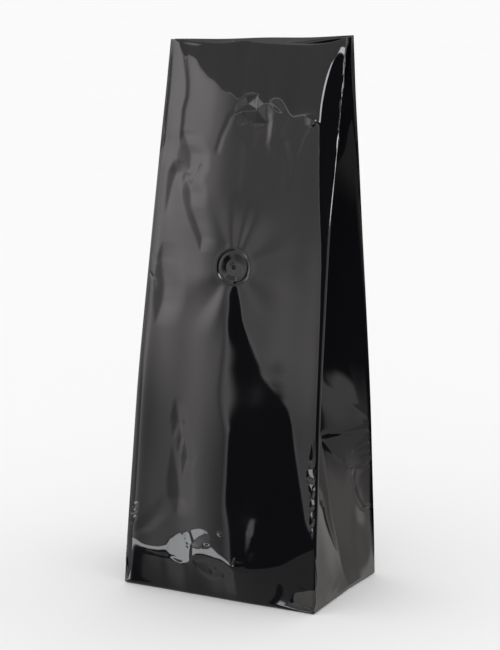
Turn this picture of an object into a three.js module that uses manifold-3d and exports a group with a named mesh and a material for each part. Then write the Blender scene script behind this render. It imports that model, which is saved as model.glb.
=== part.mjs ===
// A tall side-gusset bag of glossy laminated film, standing open and empty on its folded foot.
// The film is one hollow shell: a front panel, a back panel and two side gussets folded inwards,
// with an embossed ring on the front where a round one-way valve is welded behind the film.
// Millimetres, +Z up, the front panel faces -Y, the origin is the middle of the foot.
import * as THREE from "three";
import { mergeVertices } from "three/addons/utils/BufferGeometryUtils.js";
import Module from "manifold-3d";

const { clamp, lerp, smoothstep } = THREE.MathUtils;

// Driving dimensions
const PANEL_WIDTH = 127; // front and back panel, fold to fold
const HEIGHT = 325; // foot to the middle of the mouth
const WALL = 0.8; // film wall
const MOUTH_PULL = 4.7; // each fold comes in by this at the mouth
const MOUTH_LEAN = 3; // the mouth stands this far to the right of the foot
const MOUTH_TILT = 2.4; // the right corner of the mouth is this much higher, the left one lower
const CREASE_WIDTH = 1; // blunt end of each gusset's inner crease
const FOOT_ROUND = 1.2; // radius of the fold round the foot
const FOOT_RIM = 3.5; // width of the rim that the bag stands on
const FOOT_RECESS = 0.6; // base panel above the table inside that rim
const BASE_FIN_WIDTH = 11; // bottom seal, folded flat under the base
const BACK_SEAM_WIDTH = 10; // lap seal down the middle of the back
const BACK_SEAM_PROUD = 0.5;
const BACK_SEAM_STEP = 0.4;

// Where the four folds stand, as [height, depth] stations from the foot to the mouth
const FRONT_LEFT_FOLD = through([
  [0, -41.8], [26, -39.9], [75, -34.7], [123, -29.4], [170, -21.8],
  [217, -13.6], [264, -5.2], [300, 1.6], [325, 5.8],
]);
const FRONT_RIGHT_FOLD = through([
  [0, -42.8], [8, -41.2], [20, -39.4], [60, -35.7], [110, -30.9],
  [163, -24.3], [222, -17.2], [264, -9.4], [306, -2.4], [325, 2.4],
]);
const BACK_RIGHT_FOLD = through([
  [0, 42.8], [21, 41.8], [60, 40], [110, 37.3], [159, 31.8],
  [208, 24.9], [256, 17.8], [291, 12], [325, 7.4],
]);
const BACK_LEFT_FOLD = through([
  [0, 42.4], [60, 39.6], [110, 36.6], [159, 32], [208, 26.4],
  [256, 20.4], [291, 15.4], [325, 10.8],
]);
// How far each gusset's crease is folded in from the side, by height, and where it stands between
// its two folds: 0.5 in the middle, more towards the back
const CREASE_DEPTH = through([
  [0, 1], [8, 2.5], [16, 4.1], [33, 6.9], [50, 9.6], [61, 11.4], [110, 21.5], [172, 33],
  [250, 38.8], [325, 41],
]);
const CREASE_SHARE = through([
  [0, 0.61], [8, 0.56], [16, 0.53], [33, 0.51], [50, 0.49], [80, 0.5], [325, 0.5],
]);
// How far the front lip hangs below the line between the corners, from left (-1) to right (1)
const FRONT_LIP_DIP = through([
  [-1, 0], [-0.8, 0.2], [-0.57, 1.6], [-0.32, 2.4], [-0.09, 1.5],
  [0.1, 2.8], [0.53, 4.6], [0.74, 4], [0.89, 2.4], [1, 0],
]);
const BACK_LIP_DIP = through([
  [-1, 0], [-0.5, 0.8], [0, 0.5], [0.5, 0.9], [1, 0],
]);
const GUSSET_LIP_DIP = 2.4; // the same at a gusset's crease, if that reached the middle

// How far the front panel stands forward of the line between its folds, by height: inside its left
// margin, along its crest and inside its right margin
const LEFT_BULGE = through([
  [0, 3.4], [60, 3.5], [120, 4], [180, 4.2], [220, 4.6], [250, 5.8], [275, 7.1], [325, 7.4],
]);
const CREST_BULGE = through([
  [0, 8.8], [30, 9.2], [60, 9.5], [90, 9.8], [120, 10.1], [210, 10.4], [240, 10.8], [325, 10.8],
]);
const RIGHT_BULGE = through([
  [0, 0.6], [60, 1], [120, 1.9], [150, 2.8], [180, 3.6], [200, 4.3], [215, 5.2], [235, 6.8],
  [260, 7.9], [296, 8.2], [325, 5.6],
]);
// Where the crest begins, and how wide the two sloping margins beside the folds are
const CREST_X = through([
  [0, -10], [60, -14], [120, -12], [180, -16], [240, -18], [325, -16],
]);
const LEFT_MARGIN = through([
  [0, 4.6], [220, 4.6], [275, 6.4], [325, 6.4],
]);
const RIGHT_MARGIN = through([
  [0, 0.9], [90, 1.1], [130, 1.5], [160, 2.2], [183, 3], [200, 3.8], [215, 4.8], [235, 6.4],
  [260, 7.9], [281, 8.6], [300, 8.3], [325, 4.4],
]);
// Below the valve the film falls back along a wedge: its left and right edges and its drop, by height
const WEDGE_TOP = 187;
const WEDGE_LEFT_X = through([
  [0, 15], [38, 12], [57, 8], [94, 10.2], [103, 9.6], [122, 2.8], [151, 3.6], [184, 3.8], [325, 3.8],
]);
const WEDGE_RIGHT_X = through([
  [0, 62], [42, 60.2], [57, 53.8], [88, 47.6], [104, 44.6], [115, 41.2], [130, 30], [147, 20.5],
  [165, 11.4], [184, 7.6], [325, 7.6],
]);
const WEDGE_DROP = through([
  [0, 8], [60, 8.3], [90, 8.2], [105, 7.9], [120, 6.7], [135, 4.8], [150, 3.2], [165, 2],
  [187, 0], [325, 0],
]);
const TILT_LEFT_X = -8; // above the wedge the film falls back evenly from here to the right margin
const TILT_RIGHT_X = 58;
// Across the panel, from left to right: the height up to which it leans out of the foot, and the
// height from which it leans back to the mouth
const FOOT_KNEE_Z = through([
  [-62, 30], [-50, 25.3], [-33, 27.2], [-22, 21.3], [-9, 28.3], [7, 26.6], [15, 21.6], [37, 23.4],
  [47, 29.1], [62, 38],
]);
const MOUTH_BEND_Z = through([
  [-60, 331], [-41, 317], [-27, 305], [-11, 295], [8, 295], [18, 289], [26, 292], [35, 282],
  [48, 281], [62, 262],
]);
const MOUTH_LEAN_BACK = 0.085;
const FRONT_KINK = 1; // dent in the front lip
const KINK_WIDTH = 8;
const KINK_FOOT_Z = 306;

// How far the back panel stands out from its folds, at mid height and at the mouth
const BACK_BULGE = 6.6;
const BACK_MOUTH_BULGE = 4.2;
const BACK_MARGIN = 9;
const BACK_KNEE_Z = 34;
// How far the front and the back half of a gusset belly outwards at mid height
const GUSSET_BOWS = [0.5, -0.75];

// The valve: a welded disc behind the film, and the ring that it presses into the film
const VALVE_X = 3.6;
const VALVE_Z = 195.5;
const VALVE_DIAMETER = 21;
const VALVE_FLAT = 13; // the film is drawn flat this far round the valve's middle
const VALVE_FADE = 26;
const VALVE_GAP = 0.3;
const VENT_DIAMETER = 2.3;
const RING_SIDES = 40;

// The shell's grid
const PANEL_STEPS = 22;
const BACK_HALF_STEPS = 5;
const GUSSET_STEPS = 4;
const ROWS = 31;
const FLOOR_HEIGHT = FOOT_RECESS + WALL;
const FIRST_INNER_HEIGHT = 4;

// A smooth curve through a few hand-set [position, value] stations, level beyond both ends.
function through(stations) {
  const last = stations.length - 1;
  const slopes = stations.map((_, i) => {
    const [fromPlace, fromValue] = stations[Math.max(i - 1, 0)];
    const [toPlace, toValue] = stations[Math.min(i + 1, last)];
    return (toValue - fromValue) / (toPlace - fromPlace);
  });
  return (place) => {
    let i = 0;
    while (i < last - 1 && place > stations[i + 1][0]) i += 1;
    const [from, a] = stations[i];
    const [to, b] = stations[i + 1];
    const span = to - from;
    const t = clamp((place - from) / span, 0, 1);
    const bend = slopes[i] * (1 - t) - slopes[i + 1] * t;
    return a + (b - a) * t * t * (3 - 2 * t) + span * t * (1 - t) * bend;
  };
}

// Half the chord between the left and right folds, and the middle of that chord
function halfChord(level) {
  const left = 1 - level / HEIGHT;
  return PANEL_WIDTH / 2 - MOUTH_PULL * (1 - left * left);
}
function chordMiddle(level) {
  return MOUTH_LEAN * (level / HEIGHT) ** 2;
}

// How far the fold round the foot draws the section in at a height
function footInset(level) {
  const rise = clamp(1 - level / FOOT_ROUND, 0, 1);
  return FOOT_ROUND * (1 - Math.sqrt(1 - rise * rise));
}

function softplus(value) {
  return Math.max(value, 0) + Math.log1p(Math.exp(-Math.abs(value)));
}

// 0 before start and 1 after end, straight between them, with its two bends rounded
function softRamp(x, start, end, firstRound, lastRound) {
  const first = firstRound * softplus((x - start) / firstRound);
  const last = lastRound * softplus((x - end) / lastRound);
  return (first - last) / (end - start);
}

// How far the front panel stands forward of the line between its folds, its margins left out
function frontBulge(x, level) {
  const crest = CREST_BULGE(level);
  const drop = WEDGE_DROP(level);
  const wedgeRight = WEDGE_RIGHT_X(level);
  const toCrest = softRamp(x - chordMiddle(level), -55, CREST_X(level), 2.5, 6);
  const toWedge = softRamp(x, WEDGE_LEFT_X(level), wedgeRight, 1.2, 0.45);
  const aboveWedge = smoothstep(level, WEDGE_TOP - 22, WEDGE_TOP + 8);
  const tiltLeft = lerp(wedgeRight, TILT_LEFT_X, aboveWedge);
  const tiltRight = Math.max(tiltLeft + 6, TILT_RIGHT_X);
  const toMargin = softRamp(x, tiltLeft, tiltRight, lerp(0.8, 3.5, aboveWedge), 1.5);
  const falls = drop * toWedge + (crest - RIGHT_BULGE(level) - drop) * toMargin;
  return lerp(LEFT_BULGE(level), crest, toCrest) - falls;
}

// Depth (Y) of the front panel's outer face
function frontDepth(x, level) {
  const chord = halfChord(level);
  const across = x - chordMiddle(level);
  const foldLine = lerp(FRONT_LEFT_FOLD(level), FRONT_RIGHT_FOLD(level), (across / chord + 1) / 2);
  const leftMargin = softRamp(chord + across, 0, LEFT_MARGIN(level), 0.15, 1.2);
  const rightMargin = softRamp(chord - across, 0, RIGHT_MARGIN(level), 0.12, 0.4);
  const outOfFoot = softRamp(level, 0, FOOT_KNEE_Z(x), 1, 0.5);
  const back = MOUTH_LEAN_BACK * Math.max(level - MOUTH_BEND_Z(x), 0);
  const kink = FRONT_KINK * smoothstep(level, KINK_FOOT_Z, HEIGHT) * Math.exp(-((x / KINK_WIDTH) ** 2));
  const forward = frontBulge(x, level) * outOfFoot - back - kink;
  return foldLine - forward * leftMargin * rightMargin;
}

// Depth (Y) of the front panel with the film drawn flat where the valve is welded to it
const VALVE_MIDDLE_DEPTH = frontDepth(VALVE_X, VALVE_Z);
const VALVE_SLOPE_X = (frontDepth(VALVE_X + 10, VALVE_Z) - frontDepth(VALVE_X - 10, VALVE_Z)) / 20;
const VALVE_SLOPE_Z = (frontDepth(VALVE_X, VALVE_Z + 10) - frontDepth(VALVE_X, VALVE_Z - 10)) / 20;
function drawnFrontDepth(x, level) {
  const right = x - VALVE_X;
  const above = level - VALVE_Z;
  const flat = VALVE_MIDDLE_DEPTH + VALVE_SLOPE_X * right + VALVE_SLOPE_Z * above;
  const free = smoothstep(Math.hypot(right, above), VALVE_FLAT, VALVE_FADE);
  return lerp(flat, frontDepth(x, level), free);
}

// Depth (Y) of the back panel's outer face
function backDepth(x, level) {
  const chord = halfChord(level);
  const across = x - chordMiddle(level);
  const foldLine = lerp(BACK_LEFT_FOLD(level), BACK_RIGHT_FOLD(level), (across / chord + 1) / 2);
  const bulge = lerp(BACK_BULGE, BACK_MOUTH_BULGE, smoothstep(level, 180, HEIGHT));
  const outOfFoot = smoothstep(level, 0, BACK_KNEE_Z);
  const leftMargin = softRamp(chord + across, 0, BACK_MARGIN, 0.3, 3);
  const rightMargin = softRamp(chord - across, 0, BACK_MARGIN, 0.3, 3);
  return foldLine + bulge * outOfFoot * leftMargin * rightMargin;
}

// Steps from -1 to 1, closer together near both ends
function spread(count) {
  return Array.from({ length: count + 1 }, (_, i) => {
    const even = (2 * i) / count - 1;
    return 0.7 * even - 0.3 * Math.cos((Math.PI * i) / count);
  });
}

// Half of a gusset, from its fold to its crease or back, without its two ends
function gussetHalf(from, to, bowOut, steps) {
  const points = [];
  for (let i = 1; i < steps; i += 1) {
    const t = i / steps;
    const bow = bowOut * Math.sin(Math.PI * t);
    points.push([lerp(from[0], to[0], t) + bow, lerp(from[1], to[1], t)]);
  }
  return points;
}

// The bag's section at a height: a closed loop of points, anticlockwise from the front left fold.
// Each knows its part and its place along the chord from left (-1) to right (1), and a column of
// the shell keeps the same index at every height.
function section(level) {
  const chord = halfChord(level);
  const middle = chordMiddle(level);
  const loop = [];
  const add = (x, y, part) => loop.push({ x, y, part, place: (x - middle) / chord });
  for (const place of spread(PANEL_STEPS)) {
    const x = middle + chord * place;
    add(x, drawnFrontDepth(x, level), "front");
  }
  addGusset(add, level, 1);
  for (const place of backPlaces(chord)) {
    const x = middle + chord * place;
    add(x, backDepth(x, level), "back");
  }
  addGusset(add, level, -1);
  return loop;
}

// One gusset between its two folds: side 1 runs front to back on the right, -1 back to front
function addGusset(add, level, side) {
  const foldX = chordMiddle(level) + side * halfChord(level);
  const folds = side > 0
    ? [FRONT_RIGHT_FOLD(level), BACK_RIGHT_FOLD(level)]
    : [BACK_LEFT_FOLD(level), FRONT_LEFT_FOLD(level)];
  const creaseX = foldX - side * CREASE_DEPTH(level);
  const share = side > 0 ? CREASE_SHARE(level) : 1 - CREASE_SHARE(level);
  const creaseY = lerp(folds[0], folds[1], share);
  const blunt = side * CREASE_WIDTH / 2;
  const bows = side > 0 ? GUSSET_BOWS : [...GUSSET_BOWS].reverse();
  const first = [creaseX, creaseY - blunt];
  const second = [creaseX, creaseY + blunt];
  const half = (from, to, bow) => {
    const out = side * bow * Math.sin(Math.PI * level / HEIGHT);
    for (const [x, y] of gussetHalf(from, to, out, GUSSET_STEPS)) add(x, y, "gusset");
  };
  half([foldX, folds[0]], first, bows[0]);
  add(...first, "gusset");
  add(...second, "gusset");
  half(second, [foldX, folds[1]], bows[1]);
}

// The back panel's columns from right to left, with a close pair at each edge of its lap seal
function backPlaces(chord) {
  const seam = BACK_SEAM_WIDTH / 2 / chord;
  const step = BACK_SEAM_STEP / chord;
  const half = [];
  for (const place of spread(2 * BACK_HALF_STEPS)) if (place > 0.05) half.push(place);
  half.reverse();
  const right = [...half.filter((place) => place > seam + 3 * step), seam + step, seam];
  return [...right, 0, ...right.map((place) => -place).reverse()];
}

// Moves a closed loop inwards by a distance, with each corner's mitre held short
function inset(loop, distance) {
  const count = loop.length;
  const longest = 2.4;
  return loop.map((point, i) => {
    const before = loop[(i + count - 1) % count];
    const after = loop[(i + 1) % count];
    const a = new THREE.Vector2(point.x - before.x, point.y - before.y).normalize();
    const b = new THREE.Vector2(after.x - point.x, after.y - point.y).normalize();
    const inward = new THREE.Vector2(-a.y - b.y, a.x + b.x).normalize();
    const along = Math.max(inward.x * -a.y + inward.y * a.x, 1 / longest);
    const move = distance / along;
    return { ...point, x: point.x + inward.x * move, y: point.y + inward.y * move };
  });
}

// How far a column's top is above or below the mouth's mean height
function lipRise(point) {
  const tilt = MOUTH_TILT * point.place;
  if (point.part === "front") return tilt - FRONT_LIP_DIP(point.place);
  if (point.part === "back") return tilt - BACK_LIP_DIP(point.place);
  return tilt - GUSSET_LIP_DIP * (1 - Math.abs(point.place));
}

function ring(loop, level) {
  const share = (level / HEIGHT) ** 6;
  return loop.map((point) => new THREE.Vector3(point.x, point.y, level + share * lipRise(point)));
}

// Levels of the shell's rows above the foot, closer together at the foot and the mouth
function levels() {
  const list = [];
  for (const place of spread(ROWS)) list.push(HEIGHT * (place + 1) / 2);
  return [0, FOOT_ROUND * 0.3, FOOT_ROUND, ...list.filter((level) => level > FIRST_INNER_HEIGHT)];
}

function outerRing(level) {
  const loop = inset(section(Math.max(level, FOOT_ROUND)), footInset(level));
  const proud = BACK_SEAM_PROUD * smoothstep(level, 0, 10);
  const seam = BACK_SEAM_WIDTH / 2 / halfChord(level) + 1e-4;
  for (const point of loop) {
    if (point.part === "back" && Math.abs(point.place) < seam) point.y += proud;
  }
  return ring(loop, level);
}

function innerRing(level) {
  return ring(inset(section(level), WALL), level);
}

// Collects rings and caps into one closed geometry
class Skin {
  constructor() {
    this.points = [];
  }
  triangle(a, b, c) {
    for (const corner of [a, b, c]) this.points.push(corner.x, corner.y, corner.z);
  }
  band(lower, upper) {
    lower.forEach((point, i) => {
      const next = (i + 1) % lower.length;
      this.triangle(point, lower[next], upper[next]);
      this.triangle(point, upper[next], upper[i]);
    });
  }
  cap(loop, facesUp) {
    const outline = loop.map((point) => new THREE.Vector2(point.x, point.y));
    for (const [i, j, k] of THREE.ShapeUtils.triangulateShape(outline, [])) {
      if (facesUp) this.triangle(loop[i], loop[j], loop[k]);
      else this.triangle(loop[i], loop[k], loop[j]);
    }
  }
  geometry() {
    const made = new THREE.BufferGeometry();
    made.setAttribute("position", new THREE.Float32BufferAttribute(this.points, 3));
    return made;
  }
}

// The film's outer face, mouth rim, inner face and floor, as one closed skin
function filmShell() {
  const skin = new Skin();
  const outer = levels().map(outerRing);
  const innerLevels = [FLOOR_HEIGHT, ...levels().filter((level) => level > FIRST_INNER_HEIGHT)];
  const inner = innerLevels.map(innerRing);
  const base = inset(section(FOOT_ROUND), FOOT_RIM);
  const recess = base.map((point) => new THREE.Vector3(point.x, point.y, FOOT_RECESS));
  skin.band(recess, outer[0]);
  for (let i = 1; i < outer.length; i += 1) skin.band(outer[i - 1], outer[i]);
  skin.band(outer.at(-1), inner.at(-1));
  for (let i = inner.length - 1; i > 0; i -= 1) skin.band(inner[i], inner[i - 1]);
  skin.cap(recess, false);
  skin.cap(inner[0], true);
  return skin.geometry();
}

// The bottom seal: a double strip of film folded flat under the base, from side to side
function baseFin() {
  const length = PANEL_WIDTH - 2 * FOOT_ROUND;
  const fin = new THREE.BoxGeometry(length, BASE_FIN_WIDTH, FOOT_RECESS + WALL / 2);
  const middle = (FOOT_RECESS + WALL / 2) / 2;
  return fin.translate(0, BASE_FIN_WIDTH / 2 - 1.5, middle);
}

// A solid of revolution whose axis stands on the film at the valve, heights measured outwards
function turnedOnFilm(profile) {
  const points = profile.map(([radius, height]) => new THREE.Vector2(radius, height));
  const turned = new THREE.LatheGeometry([...points, points[0]], RING_SIDES);
  const outward = new THREE.Vector3(VALVE_SLOPE_X, -1, VALVE_SLOPE_Z).normalize();
  const turn = new THREE.Quaternion().setFromUnitVectors(new THREE.Vector3(0, 1, 0), outward);
  turned.applyQuaternion(turn);
  return turned.translate(VALVE_X, VALVE_MIDDLE_DEPTH, VALVE_Z);
}

// The film over the valve: a shallow dish inside a raised ring, with a fine groove round it
function pressedFilm() {
  const edge = VALVE_DIAMETER / 2 + 2;
  return turnedOnFilm([
    [0, -WALL], [edge, -WALL], [edge, 0], [VALVE_DIAMETER / 2 + 0.9, 0.1],
    [VALVE_DIAMETER / 2 + 0.2, -0.15], [VALVE_DIAMETER / 2 - 0.4, 0.7],
    [VALVE_DIAMETER / 2 - 1.5, 1], [VALVE_DIAMETER / 2 - 2.6, 0.55],
    [VALVE_DIAMETER / 2 - 4, 0.15], [2.9, 0.2], [2.1, 0.55], [0, 0.55],
  ]);
}

// The round window that the pressed film fills, and the vent hole through it
function filmWindow() {
  const radius = VALVE_DIAMETER / 2 + 0.6;
  return turnedOnFilm([[0, -6], [radius, -6], [radius, 6], [0, 6]]);
}
function ventHole() {
  const radius = VENT_DIAMETER / 2;
  return turnedOnFilm([[0, -9], [radius, -9], [radius, 9], [0, 9]]);
}

// The valve behind the film: a flange, a shallow cup and a bore that meets the vent hole
function valveBody() {
  const face = -WALL - VALVE_GAP;
  const radius = VALVE_DIAMETER / 2 - 0.4;
  const bore = VENT_DIAMETER / 2 + 0.3;
  return turnedOnFilm([
    [bore, face], [bore, face - 1.4], [bore + 1.8, face - 4.2], [bore + 1.8, face - 5],
    [radius - 3.2, face - 5], [radius - 2.4, face - 4.4], [radius - 2.2, face - 1.2],
    [radius, face - 1], [radius, face],
  ]);
}

const wasm = await Module();
wasm.setup();

function toSolid(geometry) {
  const bare = geometry.index ? geometry.toNonIndexed() : geometry;
  bare.deleteAttribute("normal");
  bare.deleteAttribute("uv");
  const merged = mergeVertices(bare, 1e-4);
  const vertProperties = new Float32Array(merged.attributes.position.array);
  const triVerts = new Uint32Array(merged.index.array);
  return new wasm.Manifold(new wasm.Mesh({ numProp: 3, vertProperties, triVerts }));
}

function toGeometry(solid) {
  const { vertProperties, triVerts } = solid.getMesh();
  const made = new THREE.BufferGeometry();
  made.setAttribute("position", new THREE.BufferAttribute(vertProperties, 3));
  made.setIndex(new THREE.BufferAttribute(triVerts, 1));
  made.computeVertexNormals();
  return made;
}

const filmMaterial = new THREE.MeshStandardMaterial({
  name: "black_gloss_film",
  color: 0x141214,
  roughness: 0.12,
  metalness: 0,
});
const valveMaterial = new THREE.MeshStandardMaterial({
  name: "black_valve_plastic",
  color: 0x1b1a1c,
  roughness: 0.45,
  metalness: 0,
});

function piece(name, geometry, material) {
  const mesh = new THREE.Mesh(geometry, material);
  mesh.name = name;
  return mesh;
}

const film = toSolid(filmShell())
  .add(toSolid(baseFin()))
  .subtract(toSolid(filmWindow()))
  .add(toSolid(pressedFilm()))
  .subtract(toSolid(ventHole()));

const bag = new THREE.Group();
bag.add(piece("film_bag", toGeometry(film), filmMaterial));
bag.add(piece("degassing_valve", toGeometry(toSolid(valveBody())), valveMaterial));

// The origin is the middle of the foot of the bag's box
const box = new THREE.Box3().setFromObject(bag);
const centre = box.getCenter(new THREE.Vector3());
bag.position.set(-centre.x, -centre.y, -box.min.z);

export default bag;
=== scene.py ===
# A tall side gusset bag of glossy black film, standing open and empty on its folded foot.
import math

import bpy
import numpy as np
from mathutils import Matrix, Vector


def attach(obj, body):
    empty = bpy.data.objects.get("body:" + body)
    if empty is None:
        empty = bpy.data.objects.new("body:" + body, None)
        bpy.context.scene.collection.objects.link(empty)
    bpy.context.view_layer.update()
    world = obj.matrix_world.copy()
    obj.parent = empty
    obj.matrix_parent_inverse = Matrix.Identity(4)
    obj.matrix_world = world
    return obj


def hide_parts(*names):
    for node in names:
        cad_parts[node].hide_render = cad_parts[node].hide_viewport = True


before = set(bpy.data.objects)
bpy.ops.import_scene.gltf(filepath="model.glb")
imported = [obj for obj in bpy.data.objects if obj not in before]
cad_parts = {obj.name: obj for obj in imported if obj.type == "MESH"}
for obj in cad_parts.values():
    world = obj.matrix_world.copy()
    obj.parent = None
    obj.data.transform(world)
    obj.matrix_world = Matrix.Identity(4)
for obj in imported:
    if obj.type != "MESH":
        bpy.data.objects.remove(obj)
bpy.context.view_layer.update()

MM = 0.001

# ---------------------------------------------------------------- the bag's main sizes, in mm
HEIGHT = 325.0
PANEL_WIDTH = 127.0
FOOT_HALF_DEPTH = 42.6  # from the middle of the foot to the folds at its front and back
CENTRING = 0.098        # the solids are centred on their own box, which moves them this far along Y
MOUTH_PULL = 4.7        # how much narrower each half of the mouth is than the foot
MOUTH_LEAN = 3.0        # the mouth stands this far to the right of the foot
MOUTH_TILT = 2.4        # its right corner is this much higher, and its left one lower
FILM = 0.35             # the film as it shows at the lip
FOOT_ROUND = 1.2        # radius of the fold round the foot
FOOT_RIM = 3.5          # width of the rim that the bag stands on
VALVE_X = 3.6
VALVE_Z = 195.5


# ---------------------------------------------------------------- curves
def clamp(value, low=0.0, high=1.0):
    return np.minimum(np.maximum(value, low), high)


def smooth(value, low, high):
    t = clamp((value - low) / (high - low))
    return t * t * (3 - 2 * t)


def lerp(a, b, t):
    return a + (b - a) * t


def band(value, start, end):
    """Comes in from 0 to 1 over the stretch start, and goes out again over the stretch end."""
    return smooth(value, *start) * (1 - smooth(value, *end))


def softplus(value):
    return np.logaddexp(0, value)


def soft_ramp(x, start, end, first_round, last_round):
    """0 before start and 1 after end, straight between them, with both bends rounded."""
    first = first_round * softplus((x - start) / first_round)
    last = last_round * softplus((x - end) / last_round)
    return (first - last) / (end - start)


def through(stations):
    """A smooth curve through (place, value) stations, flat beyond its two ends."""
    place = np.array([s[0] for s in stations], float)
    value = np.array([s[1] for s in stations], float)
    last = len(place) - 1
    before = np.maximum(np.arange(last + 1) - 1, 0)
    after = np.minimum(np.arange(last + 1) + 1, last)
    slope = (value[after] - value[before]) / (place[after] - place[before])

    def curve(p):
        p = np.asarray(p, float)
        i = clamp(np.searchsorted(place, p, side="right") - 1, 0, last - 1).astype(int)
        span = place[i + 1] - place[i]
        t = clamp((p - place[i]) / span)
        bend = slope[i] * (1 - t) - slope[i + 1] * t
        return value[i] + (value[i + 1] - value[i]) * t * t * (3 - 2 * t) + span * t * (1 - t) * bend

    return curve


# Where the four folds stand along Y at each height, and how deep the gussets fold in
FRONT_LEFT_FOLD = through([
    [0, -41.8], [26, -39.9], [75, -34.7], [123, -29.4], [170, -21.8], [217, -13.6], [264, -5.2],
    [300, 1.6], [325, 5.8],
])
FRONT_RIGHT_FOLD = through([
    [0, -42.8], [8, -41.2], [20, -39.4], [60, -35.7], [110, -30.9], [163, -24.3], [222, -17.2],
    [264, -9.4], [306, -2.4], [325, 2.4],
])
BACK_RIGHT_FOLD = through([
    [0, 43], [21, 43.2], [60, 41.8], [110, 39.1], [159, 33.6], [208, 26.7], [256, 19.6], [291, 13.6],
    [325, 8.6],
])
BACK_LEFT_FOLD = through([
    [0, 42.4], [60, 39.6], [110, 36.6], [159, 32], [208, 26.4], [256, 20.4], [291, 15.4], [325, 10.8],
])
CREASE_DEPTH = through([
    [0, 1], [8, 2.5], [16, 4.1], [33, 6.9], [50, 9.6], [61, 11.4], [110, 21.5], [172, 33], [250, 38.8],
    [325, 41],
])
# Where each crease stands between its two folds, 0.5 in the middle and more towards the back
CREASE_SHARE = through([[0, 0.61], [8, 0.56], [16, 0.53], [33, 0.51], [50, 0.49], [80, 0.5], [325, 0.5]])
# How far from the right front fold the film starts to round off, by height, and from the other three
FOLD_REACH = through([[0, 0.5], [100, 0.5], [150, 0.8], [325, 0.8]])
SHARP_REACH = 0.3


def half_chord(z):
    return PANEL_WIDTH / 2 - MOUTH_PULL * (1 - (1 - z / HEIGHT) ** 2)


def chord_middle(z):
    return MOUTH_LEAN * (z / HEIGHT) ** 2


def across_bag(x, z):
    """The place across the bag, from -1 at its left folds to 1 at its right ones."""
    return (x - chord_middle(z)) / half_chord(z)


def front_line(across, z):
    """Y of the straight line between the two front folds."""
    return lerp(FRONT_LEFT_FOLD(z), FRONT_RIGHT_FOLD(z), (across + 1) / 2)


def back_line(across, z):
    """Y of the straight line between the two back folds."""
    return lerp(BACK_LEFT_FOLD(z), BACK_RIGHT_FOLD(z), (across + 1) / 2)


# ---------------------------------------------------------------- the front panel
# How far it stands forward of the line between its folds, by height: inside its left margin, along
# its crest and inside its right margin
LEFT_BULGE = through([
    [0, 3.4], [60, 3.5], [120, 4.0], [180, 4.2], [220, 4.6], [250, 5.8], [275, 7.1], [290, 7.4], [325, 7.4],
])
CREST_BULGE = through([
    [0, 8.8], [30, 9.2], [60, 9.5], [90, 9.8], [120, 10.1], [150, 10.2], [180, 10.2], [210, 10.4],
    [240, 10.8], [325, 10.8],
])
RIGHT_BULGE = through([
    [0, 0.6], [60, 1.0], [90, 1.4], [120, 1.9], [150, 2.4], [180, 2.7], [200, 3.0], [215, 3.9],
    [235, 5.9], [260, 7.6], [296, 8.2], [312, 7.4], [325, 5.6],
])
# How wide its sloping margins beside the folds are, by height, and how sharply they start
RIGHT_MARGIN = through([
    [0, 0.5], [90, 0.6], [130, 0.8], [160, 1.2], [183, 1.7], [200, 2.2], [215, 3.0], [235, 4.8],
    [260, 7.0], [281, 8.2], [300, 8.0], [312, 7.0], [325, 4.4],
])
LEFT_MARGIN = through([[0, 4.6], [220, 4.6], [275, 6.4], [325, 6.4]])
LEFT_START_ROUND, RIGHT_START_ROUND = 0.15, 0.12
# Where the crest begins, by height
CREST_LEFT_X = through([
    [0, -8], [60, -5], [120, -4], [160, -6], [185, -9], [202, -10], [218, -17], [240, -19], [325, -16],
])
# The rise to the crest: its start, the roundings of its start and end, and its power, at and below
# the first of the levels and at and above the second
RISE_LEVELS = (105, 185)
RISE_BELOW = (-50, 9, 4, 1.45)
RISE_ABOVE = (-55, 2.5, 6, 1.0)
# The dark wedge below the valve: its left and right edge and how far the film falls back, by height
WEDGE_LEFT_X = through([
    [0, 14], [20, 13], [38, 11.2], [57, 7.2], [75, 7.2], [94, 7.2], [102, 6.4], [111, 3.2], [122, 0.4],
    [132, 0.8], [151, 2.0], [165, 2.0], [174, 2.1], [181, 2.7], [186, 4.4], [325, 4.4],
])
WEDGE_RIGHT_X = through([
    [0, 62], [42, 60.2], [57, 53.8], [73, 50.2], [88, 47.6], [104, 44.6], [115, 41.2], [124, 36], [130, 30],
    [136, 25], [147, 20.5], [157, 14.8], [165, 11.4], [176, 9], [182, 7.6], [186, 6], [325, 6],
])
WEDGE_DROP = through([
    [0, 8.0], [60, 8.3], [90, 8.2], [105, 7.9], [120, 6.7], [124, 6.3], [135, 4.8], [150, 3.4], [160, 2.8],
    [168, 2.1], [176, 1.3], [182, 0.75], [188, 0.3], [196, 0.0], [325, 0.0],
])
WEDGE_TOP = 187.0
# The film falls back evenly to the second of these places, from the wedge's right edge and, above
# the wedge, from the first
TILT_LEFT_X, TILT_RIGHT_X = -8, 58
# The ragged edge from which the film leans back to the mouth, across the panel
MOUTH_EDGE_Z = through([
    [-60, 331], [-41.5, 317.4], [-31.4, 312.6], [-29.4, 309.6], [-26.4, 306.4], [-21.7, 302.7],
    [-16.7, 300.5], [-10.8, 296], [-6, 294.6], [-1.8, 291.6], [0.9, 291.4], [3.9, 294.2], [7.7, 295.7],
    [11.6, 294.8], [15.1, 292.2], [17.9, 289.8], [19.6, 291.8], [22.6, 293.5], [25.8, 293.3],
    [28.6, 290.5], [31.6, 285.5], [34.3, 282.9], [39.3, 283.5], [43.6, 283.7], [46.8, 282.8], [50.2, 280],
    [52.7, 276.4], [62, 262],
])
MOUTH_LEAN_BACK = 0.09
MOUTH_EDGE_ROUND = 0.4
FRONT_KINK = 1.0        # dent in the middle of the front lip
KINK_WIDTH = 8.0
KINK_FOOT_Z = 306.0

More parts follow.
